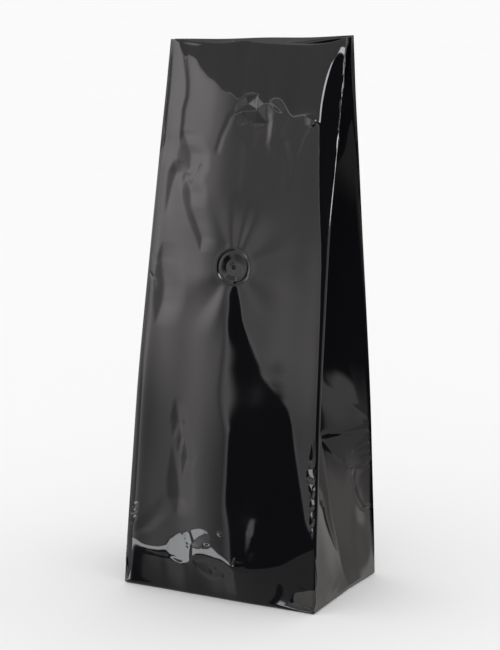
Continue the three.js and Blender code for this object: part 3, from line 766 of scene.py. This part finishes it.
def make_mesh(name, vertices, faces, materials, face_material=None):
    """Links a smooth mesh to the scene; face_material gives each face its place in materials."""
    mesh = bpy.data.meshes.new(name)
    mesh.from_pydata(vertices, [], faces)
    for material in materials:
        mesh.materials.append(material)
    if face_material is not None:
        mesh.polygons.foreach_set("material_index", face_material)
    mesh.polygons.foreach_set("use_smooth", [True] * len(mesh.polygons))
    mesh.validate()
    mesh.update()
    piece = bpy.data.objects.new(name, mesh)
    bpy.context.scene.collection.objects.link(piece)
    return piece


FOOT_ANGLES = (90, 67, 45, 22)  # where the rings round the fold at the foot stand, from its rim up
LIP_CROWN = 0.12        # how much higher the middle of the lip is than its outer edge
LINING_STEP = 10        # the lining has one ring for so many of the outer face
LINING_REACH = 4        # it keeps clear of the dents in so many rings above and below,
LINING_DEEPEST = 0.6    # by this much at most


def bag_film(outside, lining):
    """The whole web of film as one closed skin: outer face, lip, lining and turned-in foot."""
    x, y, z, nx, ny = film_grid()
    rows, count = x.shape
    rings = []          # from the rim of the foot up the outer face, over the lip and down the lining

    def scaled(inset, height):
        """The lowest ring drawn in by an inset, at another height."""
        kx = 1 - inset / (PANEL_WIDTH / 2)
        ky = 1 - inset / FOOT_HALF_DEPTH
        return np.stack([x[0] * kx, y[0] * ky, np.full(count, height)], 1)

    rings.append(scaled(FOOT_RIM, 0.0))
    for angle in FOOT_ANGLES:
        a = math.radians(angle)
        rings.append(scaled(FOOT_ROUND * (1 - math.cos(a)), FOOT_ROUND * (1 - math.sin(a))))
    for i in range(rows):
        rings.append(np.stack([x[i], y[i], z[i]], 1))
    outside_strips = len(rings) - 1
    half_way = np.stack([nx[-1], ny[-1], 0 * nx[-1]], 1) * FILM / 2
    rings.append(rings[-1] - half_way + [0, 0, LIP_CROWN])
    for i in range(rows - 1, 0, -LINING_STEP):
        around = range(max(i - LINING_REACH, 0), min(i + LINING_REACH + 1, rows))
        deepest = np.max([-x[k] * nx[i] - y[k] * ny[i] for k in around], 0)
        at = -x[i] * nx[i] - y[i] * ny[i]
        inward = FILM + (clamp(deepest - at, 0, LINING_DEEPEST) if i != rows - 1 else 0)
        rings.append(np.stack([x[i] - nx[i] * inward, y[i] - ny[i] * inward, z[i]], 1))
    rings.append(scaled(FILM, FOOT_ROUND + 0.5))
    rings.append(scaled(FOOT_ROUND + 0.3, FILM + 0.1))
    rings.append(scaled(FOOT_RIM + 0.1, FILM))
    vertices = np.concatenate(rings) * MM
    strips = len(rings)
    faces, kinds = [], []
    for ring in range(strips):
        above = (ring + 1) % strips
        for i in range(count):
            j = (i + 1) % count
            faces.append((ring * count + i, ring * count + j, above * count + j, above * count + i))
            kinds.append(0 if ring < outside_strips else 1)
    return make_mesh("bag_film", vertices.tolist(), faces, [outside, lining], kinds)


# ---------------------------------------------------------------- the folded base
BASE_LOW = 0.32         # height of its underside
BASE_OVERLAP = 0.8      # how far it reaches over the rim of the foot
BASE_HALF_X = PANEL_WIDTH / 2 - FOOT_RIM + BASE_OVERLAP
BASE_HALF_Y = FOOT_HALF_DEPTH - FOOT_RIM + BASE_OVERLAP
BASE_STEPS_X = 96
BASE_STEPS_Y = 64
BASE_FIN_Y = 3.2
BASE_FIN_WIDTH = 11.0
BASE_FIN_DEPTH = 0.24
CORNER_FOLD_RAISED = 0.16
CORNER_FOLD_WIDTH = 0.8
CORNER_FOLD_REACH = 0.82        # how far the folds run in from the corners, by the base's depth


def base_underside(x, y):
    """Height of the base's underside: a fin seal folded flat across it, and the folds from its corners."""
    half_fin = BASE_FIN_WIDTH / 2
    fin = 1 - smooth(np.abs(y - BASE_FIN_Y), half_fin - 0.6, half_fin + 0.4)
    rising = -BASE_FIN_DEPTH * fin
    for side in (-1, 1):
        corner = side * (BASE_HALF_X - BASE_HALF_Y * CORNER_FOLD_REACH)
        for end in (-1, 1):
            line = [[corner, BASE_FIN_Y], [side * BASE_HALF_X, end * BASE_HALF_Y]]
            fold = np.exp(-((bent_line(x, y, line) / CORNER_FOLD_WIDTH) ** 2))
            rising = rising + CORNER_FOLD_RAISED * fold
    rising = rising + 0.05 * np.sin(x / 6.5 + y / 9) * np.sin(y / 7.5)
    return BASE_LOW + rising


def folded_base(film):
    """The bottom of the web, folded flat across the foot, as one closed plate."""
    xs = np.linspace(-BASE_HALF_X, BASE_HALF_X, BASE_STEPS_X + 1)
    ys = np.linspace(-BASE_HALF_Y, BASE_HALF_Y, BASE_STEPS_Y + 1)
    grid_x, grid_y = np.meshgrid(xs, ys)
    low = base_underside(grid_x, grid_y)
    under = np.stack([grid_x, grid_y, low], -1).reshape(-1, 3)
    over = under + [0, 0, FILM]
    across, size = len(xs), len(xs) * len(ys)
    faces = []
    for j in range(len(ys) - 1):
        for i in range(across - 1):
            a = j * across + i
            faces.append((a, a + across, a + across + 1, a + 1))
            faces.append((size + a, size + a + 1, size + a + across + 1, size + a + across))
    border = list(range(across))
    border += [(j + 1) * across - 1 for j in range(1, len(ys))]
    border += [size - 1 - i for i in range(1, across)]
    border += [j * across for j in range(len(ys) - 2, 0, -1)]
    for a, b in zip(border, border[1:] + border[:1]):
        faces.append((a, b, size + b, size + a))
    return make_mesh("folded_base", (np.concatenate([under, over]) * MM).tolist(), faces, [film])


# ---------------------------------------------------------------- materials
def new_nodes(name):
    """A new material, its node tree and its Principled shader."""
    material = bpy.data.materials.new(name)
    material.use_nodes = True
    tree = material.node_tree
    return material, tree, tree.nodes["Principled BSDF"]


def film_grain_group():
    """Faint uneven gloss and fine ripple of drawn film, for every face of the web."""
    group = bpy.data.node_groups.new("film_grain", "ShaderNodeTree")
    face = group.interface
    for label, value in (("Gloss", 0.06), ("Unevenness", 0.02), ("Ripple Size", 90.0)):
        socket = face.new_socket(label, in_out="INPUT", socket_type="NodeSocketFloat")
        socket.min_value, socket.default_value = 0.0, value
    for label in ("Roughness", "Ripple", "Haze"):
        face.new_socket(label, in_out="OUTPUT", socket_type="NodeSocketFloat")
    nodes, links = group.nodes, group.links
    inputs = nodes.new("NodeGroupInput")
    outputs = nodes.new("NodeGroupOutput")
    place = nodes.new("ShaderNodeTexCoord")
    cloud = nodes.new("ShaderNodeTexNoise")
    cloud.inputs["Scale"].default_value = 26
    cloud.inputs["Detail"].default_value = 4
    ripple = nodes.new("ShaderNodeTexNoise")
    ripple.inputs["Detail"].default_value = 2
    scaled = nodes.new("ShaderNodeMath")
    scaled.operation = "MULTIPLY"
    total = nodes.new("ShaderNodeMath")
    total.operation = "ADD"
    links.new(place.outputs["Object"], cloud.inputs["Vector"])
    links.new(place.outputs["Object"], ripple.inputs["Vector"])
    links.new(inputs.outputs["Ripple Size"], ripple.inputs["Scale"])
    links.new(cloud.outputs["Fac"], scaled.inputs[0])
    links.new(inputs.outputs["Unevenness"], scaled.inputs[1])
    links.new(scaled.outputs[0], total.inputs[0])
    links.new(inputs.outputs["Gloss"], total.inputs[1])
    links.new(total.outputs[0], outputs.inputs["Roughness"])
    links.new(ripple.outputs["Fac"], outputs.inputs["Ripple"])
    links.new(cloud.outputs["Fac"], outputs.inputs["Haze"])
    return group


def tinted(tree, haze, dark, light, target):
    """A colour that drifts between two shades with the haze."""
    ramp = tree.nodes.new("ShaderNodeValToRGB")
    ramp.color_ramp.elements[0].color = (*dark, 1)
    ramp.color_ramp.elements[1].color = (*light, 1)
    tree.links.new(haze, ramp.inputs["Fac"])
    tree.links.new(ramp.outputs["Color"], target)


def film_material(name, grain, dark, light, gloss, unevenness, ripple_size, ripple_height):
    """Drawn film: near black, with its own gloss and a faint ripple."""
    material, tree, surface = new_nodes(name)
    effect = tree.nodes.new("ShaderNodeGroup")
    effect.node_tree = grain
    effect.inputs["Gloss"].default_value = gloss
    effect.inputs["Unevenness"].default_value = unevenness
    effect.inputs["Ripple Size"].default_value = ripple_size
    bump = tree.nodes.new("ShaderNodeBump")
    bump.inputs["Strength"].default_value = 1.0
    bump.inputs["Distance"].default_value = ripple_height * MM
    tree.links.new(effect.outputs["Roughness"], surface.inputs["Roughness"])
    tree.links.new(effect.outputs["Ripple"], bump.inputs["Height"])
    tree.links.new(bump.outputs["Normal"], surface.inputs["Normal"])
    tinted(tree, effect.outputs["Haze"], dark, light, surface.inputs["Base Color"])
    surface.inputs["IOR"].default_value = 1.5
    return material


# ---------------------------------------------------------------- the studio
WARM = (1.0, 0.962, 0.966)
COOL = (0.955, 0.985, 1.0)
PLAIN = (1.0, 1.0, 1.0)
SAND = (1.0, 0.965, 0.93)
# Light of the room by turn round the bag: degrees from the front, strength and tint
WALL_BY_TURN = [
    [-180, 0.55, PLAIN], [-150, 0.5, PLAIN], [-126, 0.5, PLAIN], [-117, 0.65, WARM], [-105, 1.1, WARM],
    [-96, 1.6, WARM], [-80, 2.1, WARM], [-62, 2.7, WARM], [-50, 3.2, WARM], [-45, 2.75, WARM],
    [-41, 2.15, WARM], [-36, 1.7, WARM], [-31, 1.25, WARM], [-26, 0.92, WARM], [-20, 1.0, WARM],
    [-13, 1.5, WARM], [84, 0.95, PLAIN], [96, 0.85, PLAIN], [102, 0.6, PLAIN], [112, 0.62, SAND],
    [122, 0.95, SAND], [132, 0.8, SAND], [140, 0.56, SAND], [160, 0.52, SAND], [180, 0.55, PLAIN],
]
CEILING_BY_TURN = [
    [-180, 0.6, PLAIN], [-120, 0.8, PLAIN], [0, 0.72, PLAIN], [4, 0.02, PLAIN], [75, 0.02, PLAIN],
    [100, 0.5, PLAIN], [180, 0.6, PLAIN],
]
FLOOR_BY_TURN = [
    [-180, 0.4, PLAIN], [-90, 0.4, WARM], [-62, 0.6, WARM], [-45, 0.78, WARM], [-40, 0.6, WARM],
    [-35, 0.38, PLAIN], [0, 0.3, PLAIN], [18, 0.25, PLAIN], [32, 0.02, PLAIN], [76, 0.02, PLAIN],
    [90, 0.4, PLAIN], [130, 0.6, SAND], [140, 1.3, SAND], [150, 1.0, SAND], [160, 0.52, SAND],
    [180, 0.52, SAND],
]
MOST_LIGHT = 8.0        # the strongest light that those three can hold
FLOOR_TOP = (-12.5, -11)        # heights in degrees where the floor ends and the ceiling starts
CEILING_LOW = (19.6, 20.4)
# The left part of the wall is half as strong at the first of these heights and full at the second
DIMMED_RISES = (-9, 11)
DIMMED_END = (-27, -22)         # the turns where that part ends
# The black wall in front: its two edges by turn, and how much further right each is above the
# heights given
BLACK_LEFT, BLACK_LEFT_MOVE, BLACK_LEFT_RISES = -19, 8, (-8, 2)
BLACK_RIGHT, BLACK_RIGHT_MOVE, BLACK_RIGHT_RISES = 81, 37, (1, 3.5)
BLACK_SOFT = 5
BLACK_STRENGTH = 0.02
# Panels by their turns, heights, strength, tint and softness of the edges, with what mirrors them
STRIP_PANEL = ((-58, -23), (-18.2, -13.4), 5.6, COOL, 0.4)      # the strip above the foot
FOOT_SHADE = ((-43, -10), (-24, -18.9), 0.05, COOL, 0.4)        # the two ends of the foot
LEFT_SHADE = ((-140, -58), (-14, -1.5), 0.5, WARM, 2.5)         # the left margin
MOUTH_PANEL = ((-34, -12), (18.6, 20.0), 3.2, COOL, 0.4)        # the ragged edge under the mouth
WINDOW = ((-4, 9), (20.8, 38), 11.0, COOL, 1.0)                 # the right margin at the mouth
ROOM_LIGHT = 1.1        # what lights the floor
# The strip light beside the bag, and the floor from the bag to its edges, in metres
EDGE_LIGHT_PLACE = (0.42, 0.045, 0.495)
EDGE_LIGHT_SIZE = (0.19, 0.55)
EDGE_LIGHT_STRENGTH = 14.0
FLOOR_HALF = 16.0


class Studio:
    """Node maths for the room that the film mirrors, by turn round the bag and height in degrees."""

    def __init__(self, tree):
        self.tree = tree
        place = tree.nodes.new("ShaderNodeTexCoord")
        parts = tree.nodes.new("ShaderNodeSeparateXYZ")
        tree.links.new(place.outputs["Generated"], parts.inputs[0])
        forward = self.math("MULTIPLY", parts.outputs["Y"], -1)
        self.turn = self.math("DEGREES", self.math("ARCTAN2", parts.outputs["X"], forward))
        self.rise = self.math("DEGREES", self.math("ARCSINE", parts.outputs["Z"]))

    def math(self, operation, *values):
        node = self.tree.nodes.new("ShaderNodeMath")
        node.operation = operation
        for slot, value in enumerate(values):
            if isinstance(value, (int, float)):
                node.inputs[slot].default_value = value
            else:
                self.tree.links.new(value, node.inputs[slot])
        return node.outputs[0]

    def step(self, value, start, end):
        """0 up to start and 1 from end."""
        node = self.tree.nodes.new("ShaderNodeMapRange")
        node.interpolation_type = "SMOOTHSTEP"
        self.tree.links.new(value, node.inputs["Value"])
        for name, setting in (("From Min", start), ("From Max", end)):
            if isinstance(setting, (int, float)):
                node.inputs[name].default_value = setting
            else:
                self.tree.links.new(setting, node.inputs[name])
        return node.outputs["Result"]

    def between(self, value, start, end, soft):
        """1 between start and end, with soft edges."""
        on = self.step(value, start - soft, start + soft)
        off = self.step(value, end - soft, end + soft)
        return self.math("SUBTRACT", on, off)

    def by_turn(self, stops):
        """Light that changes round the bag, from (turn, strength, tint) stops."""
        ramp = self.tree.nodes.new("ShaderNodeValToRGB")
        elements = ramp.color_ramp.elements
        while len(elements) < len(stops):
            elements.new(0.5)
        for element, (turn, strength, tint) in zip(elements, stops):
            element.position = (turn + 180) / 360
            element.color = (*(strength / MOST_LIGHT * channel for channel in tint), 1)
        share = self.math("MULTIPLY_ADD", self.turn, 1 / 360, 0.5)
        self.tree.links.new(share, ramp.inputs["Fac"])
        return self.scale(ramp.outputs["Color"], MOST_LIGHT)

    def colour(self, strength, tint):
        node = self.tree.nodes.new("ShaderNodeCombineXYZ")
        for slot, channel in enumerate(tint):
            node.inputs[slot].default_value = strength * channel
        return node.outputs[0]

    def scale(self, colour, amount):
        node = self.tree.nodes.new("ShaderNodeVectorMath")
        node.operation = "SCALE"
        self.tree.links.new(colour, node.inputs[0])
        if isinstance(amount, (int, float)):
            node.inputs["Scale"].default_value = amount
        else:
            self.tree.links.new(amount, node.inputs["Scale"])
        return node.outputs[0]

    def mix(self, first, second, share):
        node = self.tree.nodes.new("ShaderNodeMix")
        node.data_type = "VECTOR"
        self.tree.links.new(share, node.inputs["Factor"])
        self.tree.links.new(first, node.inputs[4])
        self.tree.links.new(second, node.inputs[5])
        return node.outputs[1]

    def card(self, base, turns, rises, strength, tint, soft=1.0):
        """Lays a panel of light over the room."""
        where = self.math(
            "MULTIPLY", self.between(self.turn, *turns, soft), self.between(self.rise, *rises, soft)
        )
        return self.mix(base, self.colour(strength, tint), where)


def studio_light():
    """A white room for the floor and the view, and the panels of a photo studio for the film to mirror."""
    world = bpy.data.worlds.new("studio")
    bpy.context.scene.world = world
    world.use_nodes = True
    tree = world.node_tree
    tree.nodes.clear()
    room = Studio(tree)

    wall = room.by_turn(WALL_BY_TURN)
    low_light = room.math("MULTIPLY_ADD", room.step(room.rise, *DIMMED_RISES), 0.5, 0.5)
    left_part = room.math("SUBTRACT", 1, room.step(room.turn, *DIMMED_END))
    lost = room.math("MULTIPLY", left_part, room.math("SUBTRACT", 1, low_light))
    wall = room.scale(wall, room.math("SUBTRACT", 1, lost))
    left = room.math("MULTIPLY_ADD", room.step(room.rise, *BLACK_LEFT_RISES), BLACK_LEFT_MOVE, BLACK_LEFT)
    left_edge = room.step(room.turn, left, room.math("ADD", left, BLACK_SOFT))
    right = room.math("MULTIPLY_ADD", room.step(room.rise, *BLACK_RIGHT_RISES), BLACK_RIGHT_MOVE, BLACK_RIGHT)
    right_edge = room.step(room.turn, right, room.math("ADD", right, BLACK_SOFT))
    black = room.math("MULTIPLY", left_edge, room.math("SUBTRACT", 1, right_edge))
    wall = room.mix(wall, room.colour(BLACK_STRENGTH, COOL), black)

    view = room.by_turn(FLOOR_BY_TURN)
    view = room.card(view, *STRIP_PANEL)
    view = room.card(view, *FOOT_SHADE)
    view = room.mix(view, wall, room.step(room.rise, *FLOOR_TOP))
    view = room.card(view, *LEFT_SHADE)
    view = room.mix(view, room.by_turn(CEILING_BY_TURN), room.step(room.rise, *CEILING_LOW))
    view = room.card(view, *MOUTH_PANEL)
    view = room.card(view, *WINDOW)

    rays = tree.nodes.new("ShaderNodeLightPath")
    view = room.mix(room.colour(ROOM_LIGHT, PLAIN), view, rays.outputs["Is Glossy Ray"])
    background = tree.nodes.new("ShaderNodeBackground")
    output = tree.nodes.new("ShaderNodeOutputWorld")
    tree.links.new(view, background.inputs["Color"])
    tree.links.new(background.outputs[0], output.inputs["Surface"])
    world.cycles.sampling_method = "NONE"


def edge_light():
    """A tall strip light close to the right of the bag, which only the film mirrors."""
    light = bpy.data.lights.new("edge_light", "AREA")
    light.shape = "RECTANGLE"
    light.size, light.size_y = EDGE_LIGHT_SIZE
    light.energy = EDGE_LIGHT_STRENGTH * math.pi * light.size * light.size_y
    light.color = COOL
    stand = bpy.data.objects.new("edge_light", light)
    stand.location = EDGE_LIGHT_PLACE
    stand.rotation_euler = (math.pi / 2, 0, math.pi / 2)
    stand.visible_camera = False
    stand.visible_diffuse = False
    bpy.context.scene.collection.objects.link(stand)


def pale_floor():
    """The plain floor that the bag stands on, which the film doesn't mirror."""
    material, tree, surface = new_nodes("pale_floor")
    place = tree.nodes.new("ShaderNodeTexCoord")
    cloud = tree.nodes.new("ShaderNodeTexNoise")
    cloud.inputs["Scale"].default_value = 3
    tree.links.new(place.outputs["Object"], cloud.inputs["Vector"])
    tinted(tree, cloud.outputs["Fac"], (0.86, 0.86, 0.86), (0.88, 0.88, 0.88), surface.inputs["Base Color"])
    surface.inputs["Roughness"].default_value = 0.9
    surface.inputs["Specular IOR Level"].default_value = 0.0
    size = FLOOR_HALF
    corners = [(-size, -size, 0), (size, -size, 0), (size, size, 0), (-size, size, 0)]
    floor = make_mesh("floor", corners, [(0, 1, 2, 3)], [material])
    floor.visible_glossy = False


# ---------------------------------------------------------------- the view, in degrees and metres
VIEW_TURN = 27.4
VIEW_RISE = 10.9
VIEW_DISTANCE = 1.185
VIEW_TARGET = (0.0, 0.0026, 0.160)
PICTURE_WIDTH = 500
PICTURE_HEIGHT = 650
FOCAL_PIXELS = 2000.0
CENTRE_PIXEL = (252.0, 318.4)
SENSOR = 36.0


def camera():
    """The photograph's view, from the right and a little above."""
    turn, rise = math.radians(VIEW_TURN), math.radians(VIEW_RISE)
    back = Vector((math.sin(turn) * math.cos(rise), -math.cos(turn) * math.cos(rise), math.sin(rise)))
    right = Vector((math.cos(turn), math.sin(turn), 0))
    up = back.cross(right)
    data = bpy.data.cameras.new("view")
    data.sensor_fit = "AUTO"
    data.sensor_width = SENSOR
    data.lens = FOCAL_PIXELS / PICTURE_HEIGHT * SENSOR
    data.shift_x = (PICTURE_WIDTH / 2 - CENTRE_PIXEL[0]) / PICTURE_HEIGHT
    data.shift_y = (CENTRE_PIXEL[1] - PICTURE_HEIGHT / 2) / PICTURE_HEIGHT
    data.clip_start = 0.05
    data.clip_end = 100
    view = bpy.data.objects.new("view", data)
    bpy.context.scene.collection.objects.link(view)
    frame_axes = Matrix((right, up, back)).transposed().to_4x4()
    frame_axes.translation = Vector(VIEW_TARGET) + back * VIEW_DISTANCE
    view.matrix_world = frame_axes
    bpy.context.scene.camera = view


# ---------------------------------------------------------------- putting it together
camera()
studio_light()
edge_light()
pale_floor()
bpy.context.scene.view_settings.view_transform = "Standard"

grain = film_grain_group()
black_film = film_material(
    "black_gloss_film", grain, dark=(0.0032, 0.0029, 0.0040), light=(0.0042, 0.0038, 0.0048),
    gloss=0.045, unevenness=0.045, ripple_size=110.0, ripple_height=0.004,
)
film_lining = film_material(
    "satin_film_lining", grain, dark=(0.030, 0.030, 0.027), light=(0.045, 0.044, 0.040),
    gloss=0.34, unevenness=0.12, ripple_size=240.0, ripple_height=0.02,
)
valve_plastic = film_material(
    "black_valve_plastic", grain, dark=(0.014, 0.014, 0.015), light=(0.022, 0.022, 0.023),
    gloss=0.42, unevenness=0.16, ripple_size=900.0, ripple_height=0.02,
)

bag = bag_film(black_film, film_lining)
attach(bag, "root")
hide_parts("film_bag")

base = folded_base(black_film)
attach(base, "root")

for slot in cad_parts["degassing_valve"].material_slots:
    slot.material = valve_plastic
